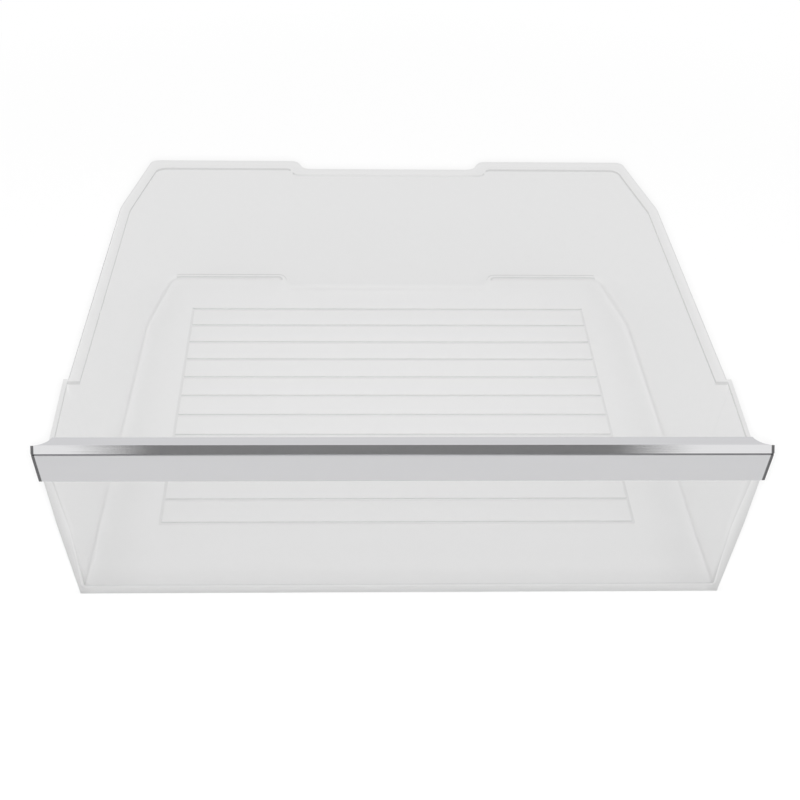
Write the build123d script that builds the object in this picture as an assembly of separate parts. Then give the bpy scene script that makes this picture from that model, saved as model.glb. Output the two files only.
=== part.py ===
from build123d import *
from math import hypot
import os

# Clear fridge drawer with a silver handle trim clipped over its front wall.
# Millimetres. +Z up, the front faces -Y, X runs across. Lengths along Y are
# first measured from the lower front edge, then the whole part is centred.

# Walls and rim
WALL = 2.4
FLOOR = 2.6
RIM_HEIGHT = 93.7
RIM_THICKNESS = 2.4

# Reach of the rim flange past each wall
SIDE_LIP = 4.7
CORNER_LIP = 5.4
REAR_LIP = 11.1
CENTRE_LIP = 7.2

# Plan of the bin at floor level
CHEEK_LENGTH = 74.8
CHEEK_START_HEIGHT = 14.0
CHEEK_TAPER = 0.020
BIN_DEPTH = 370.5
SIDE_TAPER = 0.020
CORNER_LENGTH = 67.0
CORNER_INSET = 12.5
CENTRE_HALF_WIDTH = 75.7
CENTRE_SET_IN = 16.5
CENTRE_JOG_RUN = 6.0

# Outward lean of each wall, as a slope
FRONT_LEAN = 0.093
CHEEK_LEAN = 0.165
JOG_LEAN = 0.060
SIDE_LEAN = 0.077
CORNER_LEAN = 0.074
REAR_LEAN = 0.015
CENTRE_JOG_LEAN = 0.091
CENTRE_LEAN = 0.087

# Moulded radii
SIDE_BEND_RADIUS = 40.0
REAR_CORNER_RADIUS = 8.0
CENTRE_JOG_RADIUS = 3.6
FLOOR_RADIUS = 3.0
FOOT_BEVEL = 1.6
RIM_EDGE_RADIUS = 0.8
RIM_CORNER_RADIUS = 6.0
RIM_JOG_RADIUS = 7.0

# Rib ladder on the floor
RIB_COUNT = 12
RIB_BASE = 2.6
RIB_CREST = 1.2
RIB_HEIGHT = 1.2
RIB_FRONT_MARGIN = 61.4
RIB_REAR_MARGIN = 34.5
RIB_SIDE_MARGIN = 39.8

# Handle trim, a channel over the top edge of the front wall
TRIM_WIDTH = 400.0
TRIM_LOWER_EDGE = 87.6
TRIM_FACE = 19.4
TRIM_BEVEL = 3.4
TRIM_TOP = 7.4
TRIM_REAR_LEG = 9.0
TRIM_SHEET = 1.7
TRIM_GAP = 0.2
TRIM_OVERHANG = 0.27
GROOVE_HEIGHT = 1.2
GROOVE_DEPTH = 0.6
TRIM_END_RAKE = 0.11
TRIM_COVE_RADIUS = 10.5
TRIM_COVE_WALL = 1.0
CAP_THICKNESS = 1.6

# Front wall details
FASCIA_RAKE = 0.139
LIP_THICKNESS = 2.4
EAR_DEPTH = 8.0
EAR_WIDTH = 4.0

# Values that follow from the sizes above
TRIM_EDGE = TRIM_LOWER_EDGE + TRIM_FACE
TRIM_CREST = TRIM_EDGE + TRIM_BEVEL
TRIM_PROUD = TRIM_SHEET + TRIM_GAP
FASCIA_TOP = TRIM_CREST - TRIM_SHEET
BEVEL_OFFSET = TRIM_SHEET * 2 ** 0.5
FRONT_HALF_WIDTH = TRIM_WIDTH / 2 - TRIM_OVERHANG - FASCIA_RAKE * TRIM_EDGE
CUT_MARGIN = 20.0
CHEEK_ROOT = 20.0
FOOT_CLEARANCE = 1.2


def front_face(z):
    """Y of the front wall's outer face at height z."""
    return -FRONT_LEAN * z


TRIM_FRONT = front_face(TRIM_EDGE) - TRIM_PROUD
TRIM_REAR = TRIM_FRONT + TRIM_BEVEL + TRIM_TOP
REAR_MOST = BIN_DEPTH + REAR_LEAN * RIM_HEIGHT + WALL + REAR_LIP
CENTRE_Y = (TRIM_FRONT + REAR_MOST) / 2


def side_wall():
    """Inner line of the right side wall: point at floor level, plan direction, lean."""
    return (FRONT_HALF_WIDTH - WALL, 0), (-SIDE_TAPER, 1), SIDE_LEAN


def right_hand_walls():
    """Inner wall lines of the right half, from the side to the rear."""
    (side, _), _, _ = side_wall()
    corner_start = BIN_DEPTH - CORNER_LENGTH
    corner_half = side - SIDE_TAPER * corner_start
    centre = BIN_DEPTH - CENTRE_SET_IN
    return [
        side_wall(),
        ((corner_half, corner_start), (-CORNER_INSET, CORNER_LENGTH), CORNER_LEAN),
        ((corner_half, BIN_DEPTH), (-1, 0), REAR_LEAN),
        ((CENTRE_HALF_WIDTH, centre), (-CENTRE_JOG_RUN, -CENTRE_SET_IN), CENTRE_JOG_LEAN),
    ]


def front_wall():
    """Inner line of the front wall."""
    return (0, WALL), (1, 0), FRONT_LEAN


def all_walls():
    """Every inner wall line, counter-clockwise from the front."""
    right = right_hand_walls()
    left = [((-x, y), (dx, -dy), lean) for (x, y), (dx, dy), lean in reversed(right)]
    centre = ((0, BIN_DEPTH - CENTRE_SET_IN), (-1, 0), CENTRE_LEAN)
    return [front_wall()] + right + [centre] + left


def cheek_walls():
    """Inner lines round the right cheek: front, flared outer face, jog back to the side wall."""
    (side, _), _, _ = side_wall()
    start = side - SIDE_TAPER * CHEEK_LENGTH - (CHEEK_LEAN - SIDE_LEAN) * CHEEK_START_HEIGHT
    return [
        front_wall(),
        ((start, CHEEK_LENGTH), (CHEEK_TAPER, 1), CHEEK_LEAN),
        ((start, CHEEK_LENGTH), (-1, 0), JOG_LEAN),
        ((start - CHEEK_ROOT, CHEEK_LENGTH), (0, -1), 0),
    ]


def moved_line(wall, z, grow):
    """A wall line at height z, pushed outward by grow."""
    (x, y), (dx, dy), lean = wall
    length = hypot(dx, dy)
    out = lean * z + grow
    return (x + out * dy / length, y - out * dx / length), (dx / length, dy / length)


def crossing(first, second):
    """Point where two plan lines cross."""
    (x1, y1), (dx1, dy1) = first
    (x2, y2), (dx2, dy2) = second
    t = ((x2 - x1) * dy2 - (y2 - y1) * dx2) / (dx1 * dy2 - dy1 * dx2)
    return (x1 + t * dx1, y1 + t * dy1)


def outline(walls, z, grow):
    """Corners of a closed run of walls at height z, pushed outward by grow."""
    lines = [moved_line(wall, z, grow) for wall in walls]
    return [crossing(lines[i - 1], lines[i]) for i in range(len(lines))]


def plan_face(points, z):
    """Flat face through plan points at height z."""
    return Plane.XY.offset(z) * make_face(Polyline(*points, close=True))


def drafted_block(walls, low, high, grow):
    """Flat-faced solid inside a closed run of leaning walls, from low to high."""
    feet = [(x, y, low) for x, y in outline(walls, low, grow)]
    heads = [(x, y, high) for x, y in outline(walls, high, grow)]
    rings = [feet, heads]
    for i in range(len(feet)):
        rings.append([feet[i - 1], feet[i], heads[i], heads[i - 1]])
    return Solid(Shell([Face(Wire.make_polygon(ring, close=True)) for ring in rings]))


def upright_radii(grow):
    """Radius of each upright edge behind the cheeks, by its place in the outline."""
    bend = SIDE_BEND_RADIUS + grow
    corner = REAR_CORNER_RADIUS + grow
    jog_out = CENTRE_JOG_RADIUS + grow
    jog_in = CENTRE_JOG_RADIUS + WALL - grow
    return [(bend, (2, -1)), (corner, (3, -2)), (jog_out, (4, -3)), (jog_in, (5, -4))]


def round_uprights(block, middles, radii):
    """Block with its upright edges rounded, each found by the point half-way up it."""
    for radius, places in radii:
        edges = [block.edges().sort_by_distance(middles[i])[0] for i in places]
        block = fillet(edges, radius)
    return block


def walled_block(low, high, grow):
    """Block of the bin's walls with its upright edges rounded."""
    feet = outline(all_walls(), low, grow)
    heads = outline(all_walls(), high, grow)
    half_way = Vector(0, 0, (low + high) / 2)
    middles = [(Vector(a) + Vector(b)) / 2 + half_way for a, b in zip(feet, heads)]
    block = drafted_block(all_walls(), low, high, grow)
    return round_uprights(block, middles, upright_radii(grow))


def foot_edges(block):
    """Edges of a block's underside, from front to rear."""
    return block.faces().sort_by(Axis.Z)[0].edges().sort_by(Axis.Y)


def with_cheeks(block, low, high, grow):
    """Block with the flared cheeks added on both sides, from low to high."""
    cheek = drafted_block(cheek_walls(), low, high, grow)
    return block + cheek + mirror(cheek, Plane.YZ)


def outer_basin():
    """Outside of the bin, its foot bevelled but for the front edge."""
    block = walled_block(0, RIM_HEIGHT, WALL)
    block = chamfer(foot_edges(block)[1:], FOOT_BEVEL)
    return with_cheeks(block, FOOT_BEVEL * FOOT_CLEARANCE, RIM_HEIGHT, WALL)


def inner_basin():
    """Inside of the bin, its floor running into the walls in a round."""
    high = RIM_HEIGHT + CUT_MARGIN
    block = walled_block(FLOOR, high, 0)
    block = fillet(foot_edges(block), FLOOR_RADIUS)
    return with_cheeks(block, FLOOR + FLOOR_RADIUS * FOOT_CLEARANCE, high, 0)


def rim_flange():
    """Flat flange round the sides and rear, before the inside is cut out."""
    jog = moved_line(cheek_walls()[2], RIM_HEIGHT, 0)[0][1]
    right_lips = [SIDE_LIP, CORNER_LIP, REAR_LIP, CENTRE_LIP]
    lips = right_lips + [CENTRE_LIP] + right_lips[::-1]
    lines = [moved_line(wall, RIM_HEIGHT, WALL + lip) for wall, lip in zip(all_walls()[1:], lips)]
    lines = [((0, jog), (1, 0))] + lines
    corners = [crossing(lines[i - 1], lines[i]) for i in range(len(lines))]
    plate = extrude(plan_face(corners, RIM_HEIGHT - RIM_THICKNESS), RIM_THICKNESS)
    middles = [Vector(x, y, RIM_HEIGHT - RIM_THICKNESS / 2) for x, y in corners]
    radii = [(SIDE_BEND_RADIUS, (2, -1)), (RIM_CORNER_RADIUS, (3, -2)), (RIM_JOG_RADIUS, (4, 5, -4, -3))]
    plate = round_uprights(plate, middles, radii)
    return fillet(plate.edges().group_by(Axis.Z)[-1], RIM_EDGE_RADIUS)


def end_wedge(half, at_height, rake):
    """Block whose raked ends stand at the given half width at one height."""
    top = FASCIA_TOP + CUT_MARGIN
    half_low = half - rake * at_height
    half_high = half + rake * (top - at_height)
    ends = [(-half_low, 0), (half_low, 0), (half_high, top), (-half_high, top)]
    sheet = make_face(Polyline(*ends, close=True))
    return extrude(Plane.XZ * sheet, BIN_DEPTH, both=True)


def across(points):
    """Prism of a side-view section (Y, Z), long enough to be cut to width."""
    sheet = make_face(Polyline(*points, close=True))
    return extrude(Plane.YZ * sheet, TRIM_WIDTH, both=True)


def inner_bevel(clearance):
    """The two ends of the bevel line inside the channel, less a clearance: low end, high end."""
    reach = TRIM_EDGE - TRIM_FRONT - BEVEL_OFFSET - clearance
    low_z = (reach + front_face(0) - TRIM_GAP + clearance) / (1 + FRONT_LEAN)
    low = (front_face(low_z) - TRIM_GAP + clearance, low_z)
    return low, (FASCIA_TOP - reach, FASCIA_TOP)


def fascia():
    """Front wall with the lip that the trim clips over."""
    bevel_low, bevel_high = inner_bevel(TRIM_GAP)
    lip_rear = TRIM_REAR - TRIM_SHEET - TRIM_GAP
    lip_low = FASCIA_TOP - LIP_THICKNESS
    section = across([
        (front_face(0), 0),
        (WALL, 0),
        (front_face(lip_low) + WALL, lip_low),
        (lip_rear, lip_low),
        (lip_rear, FASCIA_TOP),
        bevel_high,
        bevel_low,
    ])
    panel = section & end_wedge(FRONT_HALF_WIDTH, 0, FASCIA_RAKE)
    return (panel & between_caps(TRIM_GAP)) - cove_cuts(TRIM_GAP)


def between_caps(clearance):
    """Block that fills the space between the end caps, less a clearance."""
    return end_wedge(TRIM_WIDTH / 2 - CAP_THICKNESS - clearance, TRIM_EDGE, TRIM_END_RAKE)


def cove_cuts(grow):
    """Upright cylinders that scoop the rear corners out of the trim's top."""
    radius = TRIM_COVE_RADIUS + grow
    foot = TRIM_CREST - TRIM_REAR_LEG
    inner_face = front_face(foot) - TRIM_GAP
    y = inner_face + TRIM_COVE_WALL + TRIM_COVE_RADIUS
    x = TRIM_WIDTH / 2
    scoop = Cylinder(radius, TRIM_REAR_LEG + CUT_MARGIN, align=(Align.CENTER, Align.CENTER, Align.MIN))
    return [Pos(side * x, y, foot - grow) * scoop for side in (-1, 1)]


def ears():
    """Hollow-curved gussets that carry the front wall's edges out past the cheeks."""
    slant = Vector(FASCIA_RAKE, -FRONT_LEAN, 1)
    low = FOOT_BEVEL * FOOT_CLEARANCE
    rear = front_face(0) + WALL
    tip = (FRONT_HALF_WIDTH, rear)
    tail = (FRONT_HALF_WIDTH - EAR_WIDTH, rear + EAR_DEPTH)
    root = (FRONT_HALF_WIDTH - EAR_WIDTH - WALL, rear - WALL / 2)
    edge = TangentArc(tail, tip, tangent=(0, -1)) + Polyline(tip, root, tail)
    rise = slant * (RIM_HEIGHT - low)
    gusset = Pos(slant * low) * extrude(make_face(edge), rise.length, dir=rise)
    gusset = gusset & between_caps(TRIM_GAP)
    return [gusset, mirror(gusset, Plane.YZ)]


def rib_ladder():
    """Cross ribs between two side rails, standing on the floor."""
    first = RIB_FRONT_MARGIN
    last = BIN_DEPTH - CENTRE_SET_IN - RIB_REAR_MARGIN
    half = FRONT_HALF_WIDTH - RIB_SIDE_MARGIN
    pitch = (last - first) / (RIB_COUNT - 1)
    base, crest = RIB_BASE / 2, RIB_CREST / 2
    root = FLOOR - RIB_HEIGHT / 2
    top = FLOOR + RIB_HEIGHT
    section = make_face(Polyline((-base, root), (base, root), (crest, top), (-crest, top), close=True))
    rung = extrude(Plane.YZ * section, half, both=True)
    rail = extrude(Plane.XZ * section, (last - first) / 2 + base, both=True)
    rungs = [Pos(0, first + i * pitch, 0) * rung for i in range(RIB_COUNT)]
    rails = [Pos(side * half, (first + last) / 2, 0) * rail for side in (-1, 1)]
    return rungs + rails


def drawer_bin():
    """The clear bin, one moulding."""
    shell = (outer_basin() + rim_flange() + ears()) - inner_basin()
    return shell + fascia() + rib_ladder()


def trim_outline():
    """Outer corners of the trim's section, from its lower front edge to its rear leg."""
    groove_low = TRIM_EDGE - GROOVE_HEIGHT
    face_high = front_face(groove_low) - TRIM_PROUD
    return [
        (front_face(TRIM_LOWER_EDGE) - TRIM_PROUD, TRIM_LOWER_EDGE),
        (face_high, groove_low),
        (face_high + GROOVE_DEPTH, groove_low),
        (TRIM_FRONT + GROOVE_DEPTH, TRIM_EDGE),
        (TRIM_FRONT, TRIM_EDGE),
        (TRIM_FRONT + TRIM_BEVEL, TRIM_CREST),
        (TRIM_REAR, TRIM_CREST),
        (TRIM_REAR, TRIM_CREST - TRIM_REAR_LEG),
    ]


def handle_trim():
    """Channel section over the top of the front wall, cut to width between its caps."""
    bevel_low, bevel_high = inner_bevel(0)
    inside = [
        (TRIM_REAR - TRIM_SHEET, TRIM_CREST - TRIM_REAR_LEG),
        (TRIM_REAR - TRIM_SHEET, FASCIA_TOP),
        bevel_high,
        bevel_low,
        (front_face(TRIM_LOWER_EDGE) - TRIM_GAP, TRIM_LOWER_EDGE),
    ]
    strip = across(trim_outline() + inside)
    return (strip & between_caps(0)) - cove_cuts(0)


def end_cap(side):
    """Thin cap that closes one end of the trim."""
    block = across(trim_outline())
    whole = end_wedge(TRIM_WIDTH / 2, TRIM_EDGE, TRIM_END_RAKE)
    caps = ((block & whole) - between_caps(0)) - cove_cuts(0)
    return caps.solids().sort_by(Axis.X)[0 if side == "left" else -1]


pieces = {
    "drawer_bin": drawer_bin(),
    "handle_trim": handle_trim(),
    "end_cap_left": end_cap("left"),
    "end_cap_right": end_cap("right"),
}

os.makedirs("parts", exist_ok=True)
for name, shape in pieces.items():
    export_step(Pos(0, -CENTRE_Y, 0) * shape, f"parts/{name}.step")
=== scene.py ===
from math import pi, radians

import bpy
from mathutils import Matrix

# Clear fridge drawer with a silver handle trim, photographed from the front and above on white.

# Camera, metres and degrees, fitted to the straight edges of the drawer
CAMERA_AT = (-0.0333, -0.8903, 0.5999)
CAMERA_PITCH = 33.50
CAMERA_YAW = 2.45
CAMERA_ROLL = 1.35
CAMERA_LENS = 71.15
SENSOR = 36.0

# Light paths, long enough for a box of clear walls
BOUNCES = 48
GLOSSY_BOUNCES = 24

# Light levels, where 1 is white
AMBIENT = 0.90
KEY_LEVEL = 0.30
KEY_RADIUS = 0.03

# Energy at which a point lamp without falloff lights a white surface that faces it at 1
LAMP_UNIT = 4 * pi * pi

# Floor, metres, white in full from WHITE_TO outwards
FLOOR_COLOUR = (0.97, 0.97, 0.97, 1)
FLOOR_HALF = 6.0
FLOOR_GAP = 0.0004
WHITE_FROM = 0.45
WHITE_TO = 0.80

# Dark card that the polished bevel mirrors
CARD_CENTRE = (0.02, -0.873, 1.07)
CARD_SIZE = (0.80, 0.34)
CARD_TILT = 145.0
CARD_SOFT_EDGE = 0.10
CARD_TONE = 0.17

# Finishes
MATT = 0.9
SATIN = 0.38
POLISH = 0.06
CAP_FINISH = 0.45
PLASTIC_HAZE = 0.03
HAZE_SCALE = 30.0
HAZE_LOW = 0.3
HAZE_HIGH = 0.7
FINE_DETAIL = 3.0
BRUSH_SCALE = 900.0
BRUSH_STRETCH = (0.02, 1, 1)
BRUSH_STRENGTH = 0.06
GRAIN_SCALE = 1400.0
GRAIN_STRENGTH = 0.2
BUMP_DEPTH = 0.0002

# Silver of the trim, its upright face painted darker than its top as shade and its groove painted dark as
# shade, and the place of that groove in metres
LIT_TOP_SATIN = (0.62, 0.62, 0.635, 1)
SHADED_FACE_SATIN = (0.575, 0.575, 0.585, 1)
POLISHED_SILVER = (0.75, 0.75, 0.76, 1)
# Painted shade for the groove, a dark band laid at its height
PAINTED_GROOVE_SHADE = (0.20, 0.20, 0.205, 1)
GROOVE_LOW = 0.1057
GROOVE_HIGH = 0.1070
GROOVE_REAR = -0.1965

# Way that the polished bevel faces, how near to it a face is polished, and how level the top is, which
# sets where the lit top silver gives way to the face's painted shade
BEVEL_FACING = (0, -0.7071, 0.7071)
BEVEL_FROM = 0.93
BEVEL_TO = 0.97
LEVEL_FROM = 0.2
LEVEL_TO = 0.9

# Dark grey of the end caps
CAP_COLOUR = (0.085, 0.085, 0.088, 1)

# Clear plastic, with the grey of each region, partly its own grey and partly painted shade, and painted
# shade on its moulded lines and towards the front wall's foot
PLASTIC_IOR = 1.01
WALL_TINT_AND_SHADE = 0.885
FLOOR_TINT_AND_SHADE = 0.924
FLOOR_SIDE_TINT_AND_SHADE = 0.905
FRONT_TINT_AND_SHADE = 0.962
# Painted contact shadow at the foot of the front wall
PAINTED_FRONT_FOOT_SHADOW = 0.88
# Painted shade: darker greys standing in for the lines that bent light draws at the ribs, rim, folds and
# edges
PAINTED_RIB_SHADE = 0.80
PAINTED_RIM_SHADE = 0.56
PAINTED_CENTRE_RIM_SHADE = 0.735
PAINTED_CHEEK_SHADE = 0.84
PAINTED_OUTER_EDGE_SHADE = 0.62
PAINTED_REAR_FOOT_SHADE = 0.66
PAINTED_FRONT_EDGE_SHADE = 0.75
PAINTED_FOOT_LINE_SHADE = 0.775

# Places of those regions and lines on the drawer, metres in the part's frame
RIB_FOOT = 0.0026
RIB_TOP = 0.0038
LADDER_SIDE = 0.150
FLOOR_SIDE = 0.170
REAR_LINE_SIDE = 0.162
LADDER_REAR = 0.158
CENTRE_SIDE = 0.070
REAR_PANEL = 0.178
FRONT_WALL = -0.1815
FRONT_HALF_WIDTH = 0.1849
FRONT_RAKE = 0.139
FRONT_EDGE = 0.0065
FRONT_FOOT = 0.020
FOOT_LINE = 0.0070
RIM_LINE = 0.0920
RIM_UNDERSIDE = 0.0913
FOOT_BEVEL = 0.0016
REAR_LINE_TOP = 0.0039
CHEEK_END = -0.1120
CHEEK_LINE = 0.0009
EDGE = 0.0004

# Distance of a face from the drawer's middle along its normal, metres, below 0 where it looks inwards
INWARD = -0.02
OUTWARD_FROM = 0.02
OUTWARD_TO = 0.06

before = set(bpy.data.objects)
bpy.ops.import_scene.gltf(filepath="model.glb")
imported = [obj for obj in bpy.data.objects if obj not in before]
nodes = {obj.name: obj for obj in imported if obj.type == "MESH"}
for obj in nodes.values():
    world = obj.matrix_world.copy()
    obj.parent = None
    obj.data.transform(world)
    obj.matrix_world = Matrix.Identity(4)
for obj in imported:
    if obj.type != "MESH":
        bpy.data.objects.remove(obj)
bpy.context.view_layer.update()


def new_material(name):
    """Material with an empty node tree, its output and a shader joined to it."""
    material = bpy.data.materials.new(name)
    material.use_nodes = True
    tree = material.node_tree
    tree.nodes.clear()
    output = tree.nodes.new("ShaderNodeOutputMaterial")
    shader = tree.nodes.new("ShaderNodeBsdfPrincipled")
    tree.links.new(shader.outputs["BSDF"], output.inputs["Surface"])
    return material, tree, shader, output


def noise(tree, scale, detail=2.0, stretch=(1, 1, 1)):
    """Noise over the object's own coordinates, in metres."""
    place = tree.nodes.new("ShaderNodeTexCoord")
    mapping = tree.nodes.new("ShaderNodeMapping")
    mapping.inputs["Scale"].default_value = stretch
    texture = tree.nodes.new("ShaderNodeTexNoise")
    texture.inputs["Scale"].default_value = scale
    texture.inputs["Detail"].default_value = detail
    tree.links.new(place.outputs["Object"], mapping.inputs["Vector"])
    tree.links.new(mapping.outputs["Vector"], texture.inputs["Vector"])
    return texture.outputs["Fac"]


def between(tree, value, low, high, out_low, out_high):
    """A value mapped from one range to another."""
    node = tree.nodes.new("ShaderNodeMapRange")
    node.inputs["From Min"].default_value = low
    node.inputs["From Max"].default_value = high
    node.inputs["To Min"].default_value = out_low
    node.inputs["To Max"].default_value = out_high
    tree.links.new(value, node.inputs["Value"])
    return node.outputs["Result"]


def bump(tree, height, strength, distance):
    """Normal from a height texture."""
    node = tree.nodes.new("ShaderNodeBump")
    node.inputs["Strength"].default_value = strength
    node.inputs["Distance"].default_value = distance
    tree.links.new(height, node.inputs["Height"])
    return node.outputs["Normal"]


def mixed(tree, factor, first, second):
    """Mix of two colours, plain or from other nodes, by a factor from 0 to 1."""
    node = tree.nodes.new("ShaderNodeMix")
    node.data_type = "RGBA"
    tree.links.new(factor, node.inputs["Factor"])
    for name, colour in (("A", first), ("B", second)):
        if isinstance(colour, tuple):
            node.inputs[name].default_value = colour
        else:
            tree.links.new(colour, node.inputs[name])
    return node.outputs["Result"]


def grey(tone):
    """Opaque grey of one tone."""
    return (tone, tone, tone, 1)


def place_axes(tree):
    """The object's own X, Y and Z."""
    place = tree.nodes.new("ShaderNodeTexCoord")
    split = tree.nodes.new("ShaderNodeSeparateXYZ")
    tree.links.new(place.outputs["Object"], split.inputs["Vector"])
    return split.outputs["X"], split.outputs["Y"], split.outputs["Z"]


def absolute(tree, value):
    """A value without its sign."""
    node = tree.nodes.new("ShaderNodeMath")
    node.operation = "ABSOLUTE"
    tree.links.new(value, node.inputs[0])
    return node.outputs[0]


def over(tree, value, limit):
    """1 where a value is over a limit, with a narrow soft edge."""
    return between(tree, value, limit, limit + EDGE, 0, 1)


def under(tree, value, limit):
    """1 where a value is under a limit, with a narrow soft edge."""
    return between(tree, value, limit - EDGE, limit, 1, 0)


def all_of(tree, *factors):
    """Product of several factors."""
    product = factors[0]
    for factor in factors[1:]:
        node = tree.nodes.new("ShaderNodeMath")
        node.operation = "MULTIPLY"
        tree.links.new(product, node.inputs[0])
        tree.links.new(factor, node.inputs[1])
        product = node.outputs[0]
    return product


def inner_and_outer(tree):
    """Two factors: faces that look towards the middle of the drawer, and faces that look away from it."""
    geometry = tree.nodes.new("ShaderNodeNewGeometry")
    flat = tree.nodes.new("ShaderNodeVectorMath")
    flat.operation = "MULTIPLY"
    flat.inputs[1].default_value = (1, 1, 0)
    tree.links.new(geometry.outputs["Position"], flat.inputs[0])
    outward = tree.nodes.new("ShaderNodeVectorMath")
    outward.operation = "DOT_PRODUCT"
    tree.links.new(geometry.outputs["True Normal"], outward.inputs[0])
    tree.links.new(flat.outputs["Vector"], outward.inputs[1])
    inward = between(tree, outward.outputs["Value"], INWARD, 0, 1, 0)
    away = between(tree, outward.outputs["Value"], OUTWARD_FROM, OUTWARD_TO, 0, 1)
    from_outside = between(tree, geometry.outputs["Backfacing"], 0, 1, 1, 0)
    return all_of(tree, inward, from_outside), all_of(tree, away, from_outside)


def raked(tree, side, height):
    """Distance from the middle, less the flare of the front wall's edges at that height."""
    flare = tree.nodes.new("ShaderNodeMath")
    flare.operation = "MULTIPLY"
    flare.inputs[1].default_value = FRONT_RAKE
    tree.links.new(height, flare.inputs[0])
    level = tree.nodes.new("ShaderNodeMath")
    level.operation = "SUBTRACT"
    tree.links.new(side, level.inputs[0])
    tree.links.new(flare.outputs[0], level.inputs[1])
    return level.outputs[0]


def floor_tint_and_shade(tree, side):
    """Grey of the floor, partly the plastic's own grey and partly painted shade, a little darker beside
    the ladder of ribs.
    """
    beside = between(tree, side, LADDER_SIDE, FLOOR_SIDE, 0, 1)
    return mixed(tree, beside, grey(FLOOR_TINT_AND_SHADE), grey(FLOOR_SIDE_TINT_AND_SHADE))


def front_tint_and_painted_shade(tree, side, height):
    """Grey of the front wall, with a painted contact shadow darkening it towards its foot and painted
    shade along its raked edges.
    """
    # Painted contact shadow: darker towards the foot
    rising = between(tree, height, 0, FRONT_FOOT, 0, 1)
    middle = mixed(tree, rising, grey(PAINTED_FRONT_FOOT_SHADOW), grey(FRONT_TINT_AND_SHADE))
    edge = raked(tree, side, height)
    near_edge = between(tree, edge, FRONT_HALF_WIDTH - FRONT_EDGE, FRONT_HALF_WIDTH, 0, 1)
    return mixed(tree, near_edge, middle, grey(PAINTED_FRONT_EDGE_SHADE))


def rim_painted_shade(tree, side, depth):
    """Painted shade along the rim's inner edge, lighter along the set-in centre of the rear wall."""
    centre = all_of(tree, over(tree, depth, LADDER_REAR), under(tree, side, CENTRE_SIDE))
    return mixed(tree, centre, grey(PAINTED_RIM_SHADE), grey(PAINTED_CENTRE_RIM_SHADE))


def drawer_tint_and_painted_shade(tree):
    """Grey of the drawer's plastic by region, partly its own grey and partly painted shade, with painted
    shade darkening the lines at its moulded edges, ribs and folds.
    """
    width, depth, height = place_axes(tree)
    side = absolute(tree, width)
    inner, outer = inner_and_outer(tree)
    above_floor = over(tree, height, RIB_FOOT)
    above_ribs = over(tree, height, RIB_TOP)
    ribs = all_of(tree, above_floor, under(tree, height, RIB_TOP + 2 * EDGE),
                  under(tree, side, LADDER_SIDE), under(tree, depth, LADDER_REAR))
    rear_feet = all_of(tree, above_floor, under(tree, height, REAR_LINE_TOP),
                       under(tree, side, REAR_LINE_SIDE), over(tree, depth, REAR_PANEL))
    cheek_folds = all_of(tree, over(tree, depth, CHEEK_END - CHEEK_LINE),
                         under(tree, depth, CHEEK_END + CHEEK_LINE), above_ribs, inner)
    front = under(tree, depth, FRONT_WALL)
    front_line = all_of(tree, front, outer, under(tree, height, FOOT_LINE))
    outer_rim = all_of(tree, over(tree, height, RIM_UNDERSIDE), outer)
    outer_foot = all_of(tree, under(tree, height, FOOT_BEVEL), outer)
    inner_rim = all_of(tree, over(tree, height, RIM_LINE), inner)
    # Painted shade: ribs, rear feet, cheek folds, outer edges, front foot line and inner rim are darkened
    # in colour in place of light bent at them
    layers = (
        (above_ribs, grey(WALL_TINT_AND_SHADE)),
        (ribs, grey(PAINTED_RIB_SHADE)),
        (rear_feet, grey(PAINTED_REAR_FOOT_SHADE)),
        (cheek_folds, grey(PAINTED_CHEEK_SHADE)),
        (outer_foot, grey(PAINTED_OUTER_EDGE_SHADE)),
        (front, front_tint_and_painted_shade(tree, side, height)),
        (front_line, grey(PAINTED_FOOT_LINE_SHADE)),
        (outer_rim, grey(PAINTED_OUTER_EDGE_SHADE)),
        (inner_rim, rim_painted_shade(tree, side, depth)),
    )
    # Painted shade as well as the plastic's own grey: each region's grey stands partly for both
    tint_and_painted_shade = floor_tint_and_shade(tree, side)
    for place, colour in layers:
        tint_and_painted_shade = mixed(tree, place, tint_and_painted_shade, colour)
    return tint_and_painted_shade


def clear_plastic():
    """Clear thin-walled moulding: the view through it hardly shifts, and its lines are soft grey painted
    shade in its colour rather than light bent at its edges.
    """
    material, tree, shader, _ = new_material("clear_plastic")
    tree.links.new(drawer_tint_and_painted_shade(tree), shader.inputs["Base Color"])
    shader.inputs["Transmission Weight"].default_value = 1.0
    shader.inputs["IOR"].default_value = PLASTIC_IOR
    haze = between(tree, noise(tree, HAZE_SCALE), HAZE_LOW, HAZE_HIGH, 0.0, PLASTIC_HAZE)
    tree.links.new(haze, shader.inputs["Roughness"])
    return material


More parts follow.
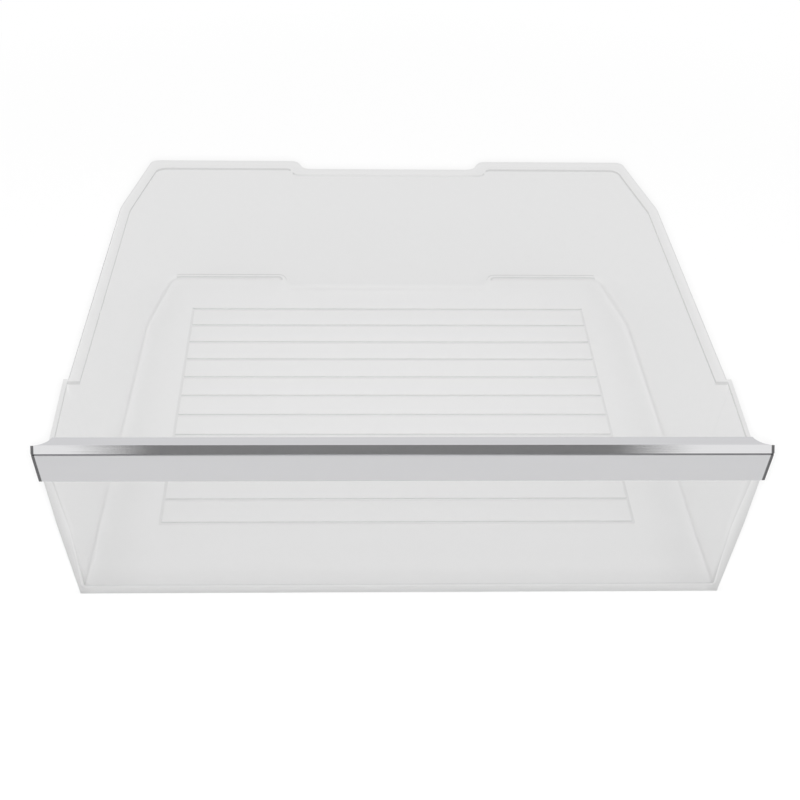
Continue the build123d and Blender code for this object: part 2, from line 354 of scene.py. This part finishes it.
def silver_trim():
    """Satin silver, polished on the bevel that faces up and forward, with the upright face painted darker
    than the top as shade and a band of painted shade in the groove.
    """
    material, tree, shader, _ = new_material("silver_trim")
    shader.inputs["Metallic"].default_value = 1.0
    geometry = tree.nodes.new("ShaderNodeNewGeometry")
    facing = tree.nodes.new("ShaderNodeVectorMath")
    facing.operation = "DOT_PRODUCT"
    facing.inputs[1].default_value = BEVEL_FACING
    tree.links.new(geometry.outputs["True Normal"], facing.inputs[0])
    polished = between(tree, facing.outputs["Value"], BEVEL_FROM, BEVEL_TO, 0, 1)
    split = tree.nodes.new("ShaderNodeSeparateXYZ")
    tree.links.new(geometry.outputs["True Normal"], split.inputs["Vector"])
    # Painted shade: the less level a face, the more it takes the darker face silver instead of the lit
    # top silver
    level = between(tree, split.outputs["Z"], LEVEL_FROM, LEVEL_TO, 0, 1)
    lit_and_shaded_satin = mixed(tree, level, SHADED_FACE_SATIN, LIT_TOP_SATIN)
    colour = mixed(tree, polished, lit_and_shaded_satin, POLISHED_SILVER)
    _, depth, height = place_axes(tree)
    # Painted shade: a dark band along the groove at the front of the trim
    painted_groove_shade = all_of(tree, over(tree, height, GROOVE_LOW), under(tree, height, GROOVE_HIGH),
                       under(tree, depth, GROOVE_REAR))
    colour = mixed(tree, painted_groove_shade, colour, PAINTED_GROOVE_SHADE)
    tree.links.new(colour, shader.inputs["Base Color"])
    roughness = between(tree, polished, 0, 1, SATIN, POLISH)
    tree.links.new(roughness, shader.inputs["Roughness"])
    brushed = noise(tree, BRUSH_SCALE, detail=FINE_DETAIL, stretch=BRUSH_STRETCH)
    tree.links.new(bump(tree, brushed, BRUSH_STRENGTH, BUMP_DEPTH), shader.inputs["Normal"])
    return material


def dark_cap():
    """Dark grey moulded cap with a fine grain."""
    material, tree, shader, _ = new_material("dark_cap")
    shader.inputs["Base Color"].default_value = CAP_COLOUR
    shader.inputs["Roughness"].default_value = CAP_FINISH
    grain = noise(tree, GRAIN_SCALE, detail=FINE_DETAIL)
    tree.links.new(bump(tree, grain, GRAIN_STRENGTH, BUMP_DEPTH), shader.inputs["Normal"])
    return material


def dress(node, material):
    """Gives a CAD node its material."""
    slots = nodes[node].data.materials
    slots.clear()
    slots.append(material)


def seen_directly(tree):
    """1 for rays from the camera, or from it by way of gloss or clear plastic."""
    path = tree.nodes.new("ShaderNodeLightPath")
    seen = path.outputs["Is Camera Ray"]
    for kind in ("Is Glossy Ray", "Is Transmission Ray"):
        node = tree.nodes.new("ShaderNodeMath")
        node.operation = "MAXIMUM"
        tree.links.new(seen, node.inputs[0])
        tree.links.new(path.outputs[kind], node.inputs[1])
        seen = node.outputs[0]
    return seen


def white_world():
    """Even white surroundings, a little dimmer as a light than to the eye."""
    world = bpy.data.worlds.new("white_world")
    world.use_nodes = True
    tree = world.node_tree
    background = tree.nodes["Background"]
    background.inputs["Color"].default_value = (1, 1, 1, 1)
    strength = between(tree, seen_directly(tree), 0, 1, AMBIENT, 1.0)
    tree.links.new(strength, background.inputs["Strength"])
    bpy.context.scene.world = world


def white_floor():
    """White floor that takes the shadow near the drawer and is plain white far from it."""
    bpy.ops.mesh.primitive_plane_add(size=2 * FLOOR_HALF, location=(0, 0, -FLOOR_GAP))
    floor = bpy.context.object
    floor.name = "floor"
    material, tree, shader, output = new_material("white_floor")
    shader.inputs["Base Color"].default_value = FLOOR_COLOUR
    shader.inputs["Roughness"].default_value = MATT
    shader.inputs["Specular IOR Level"].default_value = 0.0
    place = tree.nodes.new("ShaderNodeTexCoord")
    reach = tree.nodes.new("ShaderNodeVectorMath")
    reach.operation = "LENGTH"
    tree.links.new(place.outputs["Object"], reach.inputs[0])
    far = between(tree, reach.outputs["Value"], WHITE_FROM, WHITE_TO, 0, 1)
    blend = all_of(tree, far, seen_directly(tree))
    plain = tree.nodes.new("ShaderNodeEmission")
    plain.inputs["Color"].default_value = (1, 1, 1, 1)
    plain.inputs["Strength"].default_value = 1.0
    mix = tree.nodes.new("ShaderNodeMixShader")
    tree.links.new(blend, mix.inputs["Fac"])
    tree.links.new(shader.outputs["BSDF"], mix.inputs[1])
    tree.links.new(plain.outputs["Emission"], mix.inputs[2])
    tree.links.new(mix.outputs["Shader"], output.inputs["Surface"])
    floor.data.materials.append(material)


def key_light():
    """Soft key beside the lens, so that the drawer's shadow falls behind it."""
    data = bpy.data.lights.new("key", "POINT")
    data.shadow_soft_size = KEY_RADIUS
    data.energy = KEY_LEVEL * LAMP_UNIT
    data.use_nodes = True
    tree = data.node_tree
    emission = tree.nodes["Emission"]
    falloff = tree.nodes.new("ShaderNodeLightFalloff")
    falloff.inputs["Strength"].default_value = 1.0
    tree.links.new(falloff.outputs["Constant"], emission.inputs["Strength"])
    lamp = bpy.data.objects.new("key", data)
    lamp.location = CAMERA_AT
    bpy.context.scene.collection.objects.link(lamp)


def dark_card():
    """Dark card above and in front, seen only in reflections."""
    bpy.ops.mesh.primitive_plane_add(size=1, location=CARD_CENTRE)
    card = bpy.context.object
    card.name = "card"
    card.scale = (CARD_SIZE[0], CARD_SIZE[1], 1)
    card.rotation_euler = (radians(CARD_TILT), 0, 0)
    material, tree, shader, _ = new_material("card")
    shader.inputs["Base Color"].default_value = grey(CARD_TONE)
    shader.inputs["Roughness"].default_value = MATT
    along, _, _ = place_axes(tree)
    end = 0.5
    full = end - CARD_SOFT_EDGE / CARD_SIZE[0]
    fade = between(tree, absolute(tree, along), full, end, 1, 0)
    tree.links.new(fade, shader.inputs["Alpha"])
    card.data.materials.append(material)
    card.visible_camera = False
    card.visible_diffuse = False
    card.visible_shadow = False


def camera():
    """Camera at the photograph's place."""
    data = bpy.data.cameras.new("camera")
    data.sensor_width = SENSOR
    data.lens = CAMERA_LENS
    cam = bpy.data.objects.new("camera", data)
    turn = Matrix.Rotation(radians(-CAMERA_YAW), 3, "Z")
    tip = Matrix.Rotation(radians(90 - CAMERA_PITCH), 3, "X")
    roll = Matrix.Rotation(radians(CAMERA_ROLL), 3, "Z")
    cam.rotation_euler = (turn @ tip @ roll).to_euler()
    cam.location = CAMERA_AT
    bpy.context.scene.collection.objects.link(cam)
    bpy.context.scene.camera = cam


def light_paths():
    """Sets the length of the light paths, with no blur added to reflections."""
    cycles = bpy.context.scene.cycles
    cycles.max_bounces = BOUNCES
    cycles.glossy_bounces = GLOSSY_BOUNCES
    cycles.transmission_bounces = BOUNCES
    cycles.blur_glossy = 0.0


bpy.context.scene.view_settings.view_transform = "Standard"
light_paths()
dress("drawer_bin", clear_plastic())
dress("handle_trim", silver_trim())
cap_material = dark_cap()
dress("end_cap_left", cap_material)
dress("end_cap_right", cap_material)
white_world()
white_floor()
key_light()
dark_card()
camera()
